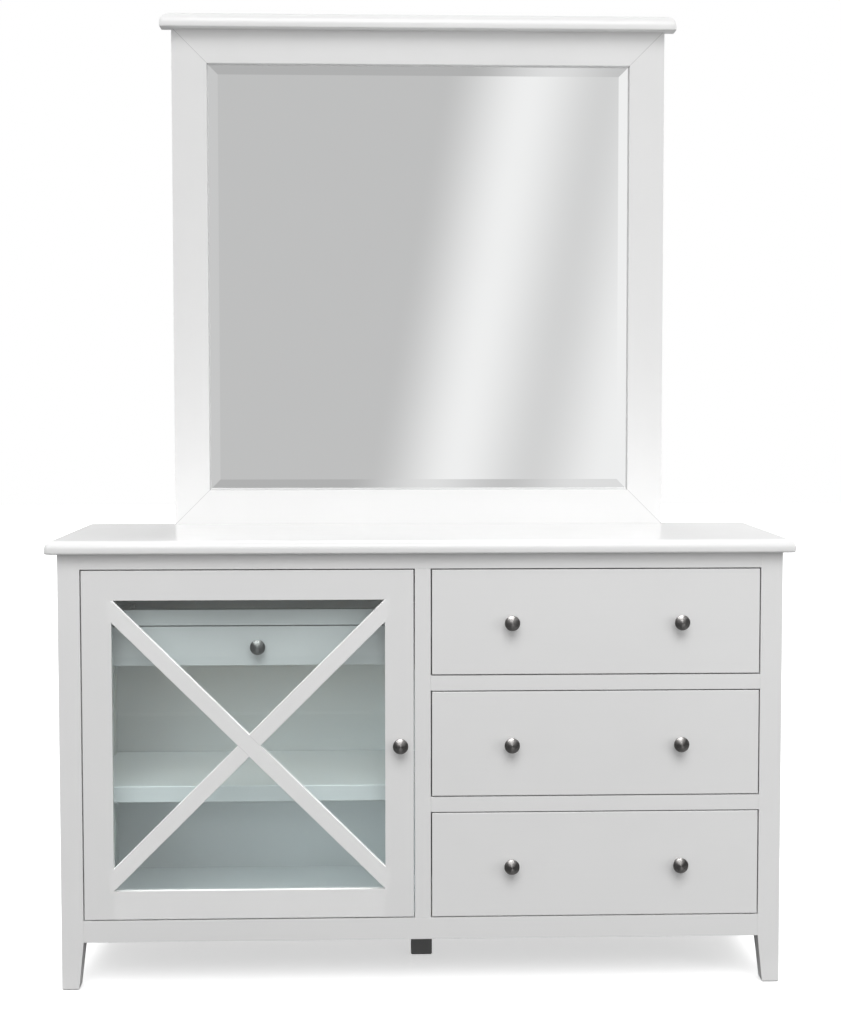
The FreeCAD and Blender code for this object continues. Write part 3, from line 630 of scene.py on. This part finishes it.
def hinge_screws():
    """Two screws in each cup's flange and two in each arm's plate."""
    low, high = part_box("door_hinge_cups")
    flange_half = 26.0 * MM
    screw_from_end = 5.5 * MM
    x = (low.x + high.x) / 2
    places = []
    for z in (low.z + flange_half, high.z - flange_half):
        for side in (-1, 1):
            places.append((x, high.y, z + side * (flange_half - screw_from_end)))
    make_screws("door_hinge_cup_screws", "door", places, (0, 1, 0), HINGE_SCREW)
    low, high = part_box("hinge_arms")
    plate_half, plate_thickness, screw_from_middle = 25.0 * MM, 2.0 * MM, 16.0 * MM
    y = (low.y + high.y) / 2
    places = []
    for z in (low.z + plate_half, high.z - plate_half):
        for side in (-1, 1):
            places.append((low.x + plate_thickness, y, z + side * screw_from_middle))
    make_screws("hinge_plate_screws", "carcass", places, (1, 0, 0), HINGE_SCREW)


def back_screws():
    """Screws through the back panel's margin and into the partition's rear edge."""
    low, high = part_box("back_panel")
    inset = 6.0 * MM
    partition_x = 6.0 * MM
    count_x, count_z = 9, 5
    places = []
    for i in range(count_x):
        x = low.x + inset + (high.x - low.x - 2 * inset) * i / (count_x - 1)
        places += [(x, high.y, low.z + inset), (x, high.y, high.z - inset)]
    for i in range(1, count_z - 1):
        z = low.z + inset + (high.z - low.z - 2 * inset) * i / (count_z - 1)
        places += [(x, high.y, z) for x in (low.x + inset, high.x - inset, partition_x)]
    make_screws("back_panel_screws", "carcass", places, (0, 1, 0), BACK_SCREW)


POST_HALF_WIDTH, POST_ARRIS = 30.0 * MM, 1.2 * MM
POST_SCREW_HEIGHTS = (0.745, 0.800, 0.905, 1.120, 1.300, 1.450)


def mirror_posts():
    """The two battens behind the mirror, drilled and countersunk for flush wood screws."""
    low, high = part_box("mirror_posts")
    head, depth, clear, past_face = 4.6 * MM, 2.6 * MM, 0.3 * MM, 1.0 * MM
    backward = Vector((0, 1, 0))
    seats = [Vector((x, high.y - depth, z))
             for x in (low.x + POST_HALF_WIDTH, high.x - POST_HALF_WIDTH) for z in POST_SCREW_HEIGHTS]
    open_end = depth + past_face
    countersink = [(0.0, 0.0), (head * 0.4, 0.0), (head, depth), (head, open_end), (0.0, open_end)]
    cones = bmesh.new()
    for seat in seats:
        lathe(cones, countersink, seat, backward, steps=SCREW_STEPS)
    posts = cut_copy("mirror_posts", "mirror_posts_drilled", cones, white_upright)
    ease_edges(posts, POST_ARRIS)
    bm = bmesh.new()
    for index, seat in enumerate(seats):
        screw_head(bm, seat, backward, head - clear, depth - clear, angle=0.5 * index)
    new_piece("mirror_post_screws", bm, zinc_steel, "carcass", math.radians(35))


def cut_copy(node, name, cutter_bm, material):
    """A copy of a node with shapes cut out of it, which then stands for the node."""
    bmesh.ops.remove_doubles(cutter_bm, verts=cutter_bm.verts, dist=0.001 * MM)
    bmesh.ops.recalc_face_normals(cutter_bm, faces=cutter_bm.faces)
    cutter_mesh = bpy.data.meshes.new("cutter")
    cutter_bm.to_mesh(cutter_mesh)
    cutter_bm.free()
    cutter = bpy.data.objects.new("cutter", cutter_mesh)
    blank = bpy.data.objects.new("blank", nodes[node].data.copy())
    for obj in (cutter, blank):
        bpy.context.scene.collection.objects.link(obj)
    cut = blank.modifiers.new("cut", "BOOLEAN")
    cut.object, cut.solver = cutter, "EXACT"
    depsgraph = bpy.context.evaluated_depsgraph_get()
    result = bmesh.new()
    result.from_mesh(blank.evaluated_get(depsgraph).to_mesh())
    for obj in (cutter, blank):
        bpy.data.objects.remove(obj)
    obj = new_piece(name, result, material, "carcass")
    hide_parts(node)
    return obj


def backing_points():
    """Flat steel points that hold the mirror's backing board in its rebate."""
    low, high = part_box("mirror_backing")
    length, width, thickness = 16.0 * MM, 7.0 * MM, 0.8 * MM
    past_board, off_board = 1.5 * MM, 0.05 * MM
    bm = bmesh.new()
    y = high.y + off_board
    spots = []
    for share in (0.12, 0.37, 0.63, 0.88):
        x = low.x + (high.x - low.x) * share
        z = low.z + (high.z - low.z) * share
        spots += [(x, low.z, 0, 1), (x, high.z, 0, -1), (low.x, z, 1, 0), (high.x, z, -1, 0)]
    for x, z, in_x, in_z in spots:
        centre = Vector((x, y, z)) + Vector((in_x, 0, in_z)) * (length / 2 - past_board)
        inward = Vector((in_x, 0, in_z)) * length / 2
        across = Vector((in_z, 0, in_x)) * width / 2
        outline = [-inward - across, inward * 0.7 - across, inward - across * 0.55,
                   inward + across * 0.55, inward * 0.7 + across, -inward + across]
        lower = add_ring(bm, [centre + v for v in outline])
        upper = add_ring(bm, [centre + v * 0.96 + Vector((0, thickness, 0)) for v in outline])
        bridge(bm, lower, upper)
        bm.faces.new(lower)
        bm.faces.new(upper)
    new_piece("mirror_backing_points", bm, zinc_steel, "carcass")


# --- Floor and cards: sizes in metres, tones as shares of white ------------------------------
FLOOR_HALF = 14.0
FLOOR_WHITE = 0.90
FLOOR_LIFT = 0.53
FLOOR_MIRRORED = 0.77
FLOOR_BOUNCE = 0.12
FLOOR_DRIFT = 0.01

# The wall behind the camera, with its leaning band of window light
CARD_Y = -3.62
CARD_HALF, CARD_BOTTOM, CARD_TOP = 2.1, 0.1, 4.3
CARD_SIDE_FADE, CARD_TOP_FADE = 0.7, 0.6
BAND_LEAN = 0.19
BAND_START, BAND_END = -0.317, 0.738
WALL_TONE, BAND_TONE, TROUGH_TONE = 0.583, 0.965, 0.725
BAND_STOPS = ((0.0, WALL_TONE), (0.364, BAND_TONE), (0.683, TROUGH_TONE), (1.0, BAND_TONE))

# The mirror's flat within its bevels. What the bevels show of the wall has its own tone.
MIRROR_PLANE_Y = 0.1901
FLAT_HALF, FLAT_BOTTOM, FLAT_TOP = 0.419, 0.944, 1.788
BEVEL_START, BEVEL_END = 0.12, 0.2
BEVEL_TONE, BEVEL_LEFT_TONE = 0.84, 1.10

# The dark flags on the floor and at the sides, and the wall behind the dresser
FLAG_SIDE, FLAG_NEAR, FLAG_FAR, FLAG_TOP = 3.0, -0.3, -4.3, 2.3
FLAG_LEVEL = 0.004
FLAG_DARK, FLOOR_FLAG_LIGHT = 0.04, 0.18
FLAG_FADE_FAR, FLAG_FADE_NEAR = -2.2, -0.9
SIDE_FLAG_DRIFT = 1.5
BACK_WALL_HALF, BACK_WALL_TOP, BACK_WALL_Y = 3.0, 3.0, 2.0
BACK_WALL_LEFT, BACK_WALL_RIGHT, BACK_WALL_FADE = 0.27, 0.5, 0.7


def stage_plane(name, centre, x_axis, y_axis, material):
    """A flat card spanned by two half axes, drawn as a grid."""
    bm = bmesh.new()
    steps = 4
    shares = [2 * i / steps - 1 for i in range(steps + 1)]
    centre, x_axis, y_axis = Vector(centre), Vector(x_axis), Vector(y_axis)
    rows = [add_ring(bm, [centre + x_axis * u + y_axis * v for u in shares]) for v in shares]
    for first, second in zip(rows, rows[1:]):
        bridge(bm, first, second, closed=False)
    mesh = bpy.data.meshes.new(name)
    bm.to_mesh(mesh)
    bm.free()
    mesh.materials.append(material)
    obj = bpy.data.objects.new(name, mesh)
    bpy.context.scene.collection.objects.link(obj)
    return obj


def only_in_gloss(obj):
    """A card that only polished surfaces show, and that casts no shadow."""
    obj.visible_camera = False
    obj.visible_diffuse = False
    obj.visible_transmission = False
    obj.visible_volume_scatter = False
    obj.visible_shadow = False


def floor_material():
    """White to the camera and in reflections, with the object's shadow; duller as a source of light."""
    t = new_material("studio floor")
    drift = t.spread(t.noise(2.0, detail=2.0), 0.0, 1.0)
    seen, mirrored, bounce = [
        t.add("BsdfDiffuse", {"Color": t.blend(drift, grey(tone), grey(tone + FLOOR_DRIFT))}).outputs[0]
        for tone in (FLOOR_WHITE, FLOOR_MIRRORED, FLOOR_BOUNCE)
    ]
    lift = t.add("Emission", {"Color": grey(1.0), "Strength": FLOOR_LIFT}).outputs[0]
    lifted = t.add("AddShader", {0: seen, 1: lift}).outputs[0]
    path = t.add("LightPath").outputs
    direct = t.largest(path["Is Camera Ray"], path["Is Transmission Ray"])
    indirect = t.add("MixShader", {0: path["Is Glossy Ray"], 1: bounce, 2: mirrored}).outputs[0]
    return t.surface(t.add("MixShader", {0: direct, 1: indirect, 2: lifted}).outputs[0])


def along(t, axis):
    """Where a point lies along a world axis."""
    place = t.add("NewGeometry").outputs["Position"]
    return t.add("SeparateXYZ", {0: place}).outputs[axis]


def melted(t, tone, edges):
    """A card's tone that melts into the white surroundings; edges are (axis, edge, first inner place)."""
    for axis, edge, inside in edges:
        inputs = {"Value": along(t, axis), "From Min": edge, "From Max": inside}
        share = t.add("MapRange", inputs, interpolation_type="SMOOTHSTEP").outputs[0]
        tone = t.blend(share, grey(1.0), tone)
    return tone


def window_band(t):
    """Plain grey with a leaning band of soft window light."""
    lean = t.calc("MULTIPLY", along(t, "Z"), BAND_LEAN)
    across = t.calc("SUBTRACT", along(t, "X"), lean)
    ramp = t.add("ValToRGB", {0: t.spread(across, 0.0, 1.0, BAND_START, BAND_END)})
    ramp.color_ramp.interpolation = "EASE"
    elements = ramp.color_ramp.elements
    while len(elements) < len(BAND_STOPS):
        elements.new(0.5)
    for element, (position, tone) in zip(elements, BAND_STOPS):
        element.position, element.color = position, grey(tone)
    return ramp.outputs[0]


def reflected(x, z):
    """Where on the wall's card the camera looks, as (x, z), when it looks at (x, z) on the mirror."""
    reach = MIRROR_PLANE_Y - CAMERA_PLACE[1]
    stretch = (reach + MIRROR_PLANE_Y - CARD_Y) / reach
    return (CAMERA_PLACE[0] + (x - CAMERA_PLACE[0]) * stretch,
            CAMERA_PLACE[2] + (z - CAMERA_PLACE[2]) * stretch)


def window_wall_material():
    """The studio wall behind the camera, darker above and below what the mirror's flat shows."""
    t = new_material("studio wall with window light")
    tone = window_band(t)
    left, bottom = reflected(-FLAT_HALF, FLAT_BOTTOM)
    top = reflected(-FLAT_HALF, FLAT_TOP)[1]
    for axis, start, end, factor in (
        ("Z", top + BEVEL_START, top + BEVEL_END, BEVEL_TONE),
        ("Z", bottom - BEVEL_START, bottom - BEVEL_END, BEVEL_TONE),
        ("X", left - BEVEL_START, left - BEVEL_END, BEVEL_LEFT_TONE),
    ):
        edge = t.spread(along(t, axis), 1.0, factor, start, end)
        tone = t.add("VectorMath", {0: tone, 3: edge}, operation="SCALE").outputs[0]
    card_left, card_right = CAMERA_PLACE[0] - CARD_HALF, CAMERA_PLACE[0] + CARD_HALF
    tone = melted(t, tone, (
        ("X", card_left, card_left + CARD_SIDE_FADE),
        ("X", card_right, card_right - CARD_SIDE_FADE),
        ("Z", CARD_TOP, CARD_TOP - CARD_TOP_FADE),
    ))
    return t.surface(t.add("Emission", {"Color": tone}).outputs[0])


def piece_collection(name, names):
    collection = bpy.data.collections.new(name)
    for piece in names:
        collection.objects.link(bpy.data.objects[piece])
    return collection


def gloss_card(name, centre, x_axis, y_axis, tone):
    """A dark card for the knobs and the lacquer. The mirror alone takes it for white.

    What passes through the card is the white behind it, which gives the tone; its own white glow
    makes up the rest, and light linking gives that glow to the mirror only."""
    t = new_material(name)
    clear = t.add("BsdfTransparent").outputs[0]
    glow = t.add("Emission", {"Color": grey(1.0)}).outputs[0]
    mix = t.add("MixShader", {0: tone(t), 1: glow, 2: clear}).outputs[0]
    card = stage_plane(name, centre, x_axis, y_axis, t.surface(mix))
    only_in_gloss(card)
    card.light_linking.receiver_collection = piece_collection(name + " seen", ["mirror_glass"])


def floor_flag_tone(t):
    """Dark towards the camera and lighter near the dresser."""
    return t.spread(along(t, "Y"), FLAG_DARK, FLOOR_FLAG_LIGHT, FLAG_FADE_FAR, FLAG_FADE_NEAR)


def side_flag_tone(t):
    return t.spread(t.noise(1.0), FLAG_DARK, FLAG_DARK * SIDE_FLAG_DRIFT)


def back_wall_tone(t):
    return t.spread(along(t, "X"), BACK_WALL_LEFT, BACK_WALL_RIGHT, -BACK_WALL_FADE, BACK_WALL_FADE)


def make_stage():
    """The floor, and the cards that only polished surfaces show."""
    stage_plane("floor", (0, 0, 0), (FLOOR_HALF, 0, 0), (0, FLOOR_HALF, 0), floor_material())
    centre = (CAMERA_PLACE[0], CARD_Y, (CARD_BOTTOM + CARD_TOP) / 2)
    half_height = (0, 0, (CARD_TOP - CARD_BOTTOM) / 2)
    card = stage_plane("window_wall", centre, (CARD_HALF, 0, 0), half_height, window_wall_material())
    only_in_gloss(card)
    middle, half_depth = (FLAG_FAR + FLAG_NEAR) / 2, (0, (FLAG_NEAR - FLAG_FAR) / 2, 0)
    gloss_card("floor_flag", (0, middle, FLAG_LEVEL), (FLAG_SIDE, 0, 0), half_depth, floor_flag_tone)
    half_height = (0, 0, FLAG_TOP / 2)
    for side, x in (("left", -FLAG_SIDE), ("right", FLAG_SIDE)):
        gloss_card("side_flag_" + side, (x, middle, FLAG_TOP / 2), half_depth, half_height, side_flag_tone)
    half_height = (0, 0, BACK_WALL_TOP / 2)
    centre = (0, BACK_WALL_Y, BACK_WALL_TOP / 2)
    gloss_card("back_wall", centre, (BACK_WALL_HALF, 0, 0), half_height, back_wall_tone)


# --- Lamps: suns in watts a square metre, the near lamp in watts, angles in degrees ------------
AMBIENT = 0.4
KEY_STRENGTH = 1.46
LOW_FRONT_STRENGTH = 0.58
BEHIND_STRENGTH, BEHIND_HIGH_STRENGTH = 0.33, 1.68
SIDE_STRENGTH = 1.1
NEAR_POWER = 10.3
NEAR_PLACE, NEAR_TARGET, NEAR_SIZE = (2.6, -2.6, 1.4), (0.2, -0.2, 0.6), 1.2
CUPBOARD_FILL, SHELF_FILL, FLOOR_FILL = 1.5, 1.2, 0.62
FILL_COLOUR = (0.88, 0.99, 1.02)
LATTICE_LIGHT, KNOB_LIGHT = 3.8, 6.4
CORNICE_FRONT = 0.22


def area_lamp(name, place, target, size, power):
    """A square soft box at a place, turned to a target. It casts light and isn't seen itself."""
    data = bpy.data.lights.new(name, "AREA")
    data.shape = "RECTANGLE"
    data.size = data.size_y = size
    data.energy = power
    obj = bpy.data.objects.new(name, data)
    obj.visible_camera = obj.visible_glossy = False
    obj.location = place
    obj.rotation_euler = (Vector(target) - Vector(place)).to_track_quat("-Z", "Y").to_euler()
    bpy.context.scene.collection.objects.link(obj)


def far_lamp(name, strength, elevation, azimuth, width):
    """A large soft box far away; azimuth turns it from the front towards the right."""
    data = bpy.data.lights.new(name, "SUN")
    data.energy = strength
    data.angle = math.radians(width)
    obj = bpy.data.objects.new(name, data)
    obj.rotation_euler = (math.radians(90 - elevation), 0, math.radians(azimuth))
    obj.visible_glossy = False
    bpy.context.scene.collection.objects.link(obj)
    return obj


def fill_lamp(name, strength, elevation, azimuth, width, lit, shading=()):
    """A soft light for the lit pieces only. Where shading ones are named, only they cast shadows."""
    obj = far_lamp(name, strength, elevation, azimuth, width)
    obj.data.cycles.use_multiple_importance_sampling = False
    obj.light_linking.receiver_collection = piece_collection(name + " lit", lit)
    if shading:
        obj.light_linking.blocker_collection = piece_collection(name + " shading", shading)
    return obj


def keep_off(lamp, names):
    """Lets a lamp light every piece but the named ones."""
    spared = piece_collection(lamp.name + " spared", names)
    for entry in spared.collection_objects:
        entry.light_linking.link_state = "EXCLUDE"
    lamp.light_linking.receiver_collection = spared
    lamp.data.cycles.use_multiple_importance_sampling = False


def make_world():
    """White for the camera and for polished surfaces, softer as a source of light."""
    t = Tree(bpy.data.worlds.new("studio"))
    path = t.add("LightPath").outputs
    shown = t.largest(path["Is Camera Ray"], path["Is Glossy Ray"], path["Is Transmission Ray"])
    light = t.add("Background", {"Color": grey(1.0), "Strength": AMBIENT})
    plain = t.add("Background", {"Color": grey(1.0), "Strength": 1.0})
    mix = t.add("MixShader", {0: shown, 1: light.outputs[0], 2: plain.outputs[0]})
    t.add("OutputWorld", {"Surface": mix.outputs[0]})
    bpy.context.scene.world = t.owner


def light_sides():
    """Each side is lit from its own side only, so that the feet's inner faces stay in the shade."""
    shared = ["dresser_top_moulded", "mirror_cornice_moulded", "mirror_posts_drilled"]
    for side, azimuth in (("left", -94), ("right", 94)):
        own = [name % side for name in ("front_%s_leg", "rear_%s_leg", "%s_side_panel", "mirror_%s_stile")]
        fill_lamp("side_light_" + side, SIDE_STRENGTH, 0, azimuth, width=40, lit=own + shared)


def light_cupboard():
    """Soft cool fills for the walls, the shelf and the floor behind the door glass."""
    walls = ["back_panel", "left_side_panel", "partition"]
    shelf, floor, glass = ["cupboard_shelf"], ["bottom_panel"], ["door_glass"]
    fills = (
        fill_lamp("cupboard_fill", CUPBOARD_FILL, 10, -30, 60, ["back_panel", "partition"] + floor),
        fill_lamp("shelf_fill", SHELF_FILL, 60, 0, 60, shelf, walls + shelf + glass),
        fill_lamp("cupboard_floor_fill", FLOOR_FILL, 80, 0, 60, floor, walls + glass),
    )
    for fill in fills:
        fill.data.color = FILL_COLOUR


def light_details():
    """The lattice's upper edges, from just behind the zenith, and the knobs' spun highlight."""
    lattice = ["door_lattice_through_bar", "door_lattice_lapped_bar", "door_bottom_rail"]
    fill_lamp("lattice_light", LATTICE_LIGHT, 95, 0, width=40, lit=lattice, shading=lattice)
    knobs = [obj.name for obj in bpy.data.objects if "_turned" in obj.name]
    knob_light = fill_lamp("knob_light", KNOB_LIGHT, 52, -14, width=50, lit=knobs)
    knob_light.visible_glossy = True
    knob_light.data.cycles.use_multiple_importance_sampling = True


def make_lamps():
    key = far_lamp("key", KEY_STRENGTH, elevation=46, azimuth=0, width=38)
    key.visible_glossy = True
    far_lamp("low_front", LOW_FRONT_STRENGTH, elevation=5, azimuth=5, width=50)
    far_lamp("behind", BEHIND_STRENGTH, elevation=22, azimuth=184, width=60)
    behind_high = far_lamp("behind_high", BEHIND_HIGH_STRENGTH, elevation=60, azimuth=180, width=60)
    cornice = ["mirror_cornice_moulded"]
    keep_off(behind_high, cornice)
    fill_lamp("cornice_front", CORNICE_FRONT, -60, 0, width=60, lit=cornice, shading=cornice)
    area_lamp("near", NEAR_PLACE, NEAR_TARGET, NEAR_SIZE, NEAR_POWER)
    light_sides()
    light_cupboard()
    light_details()


make_camera()
dress_nodes()
for node in EASED:
    ease_edges(nodes[node], EASED_WIDTH)
make_knobs()
moulded_board("dresser_top_moulded", "dresser_top", *TOP_ROUNDS, white_level)
moulded_board("mirror_cornice_moulded", "mirror_cornice", *CORNICE_ROUNDS, white_level)
mirror_posts()
knob_screws()
hinge_screws()
back_screws()
backing_points()
make_stage()
make_world()
make_lamps()
bpy.context.scene.view_settings.view_transform = "Standard"
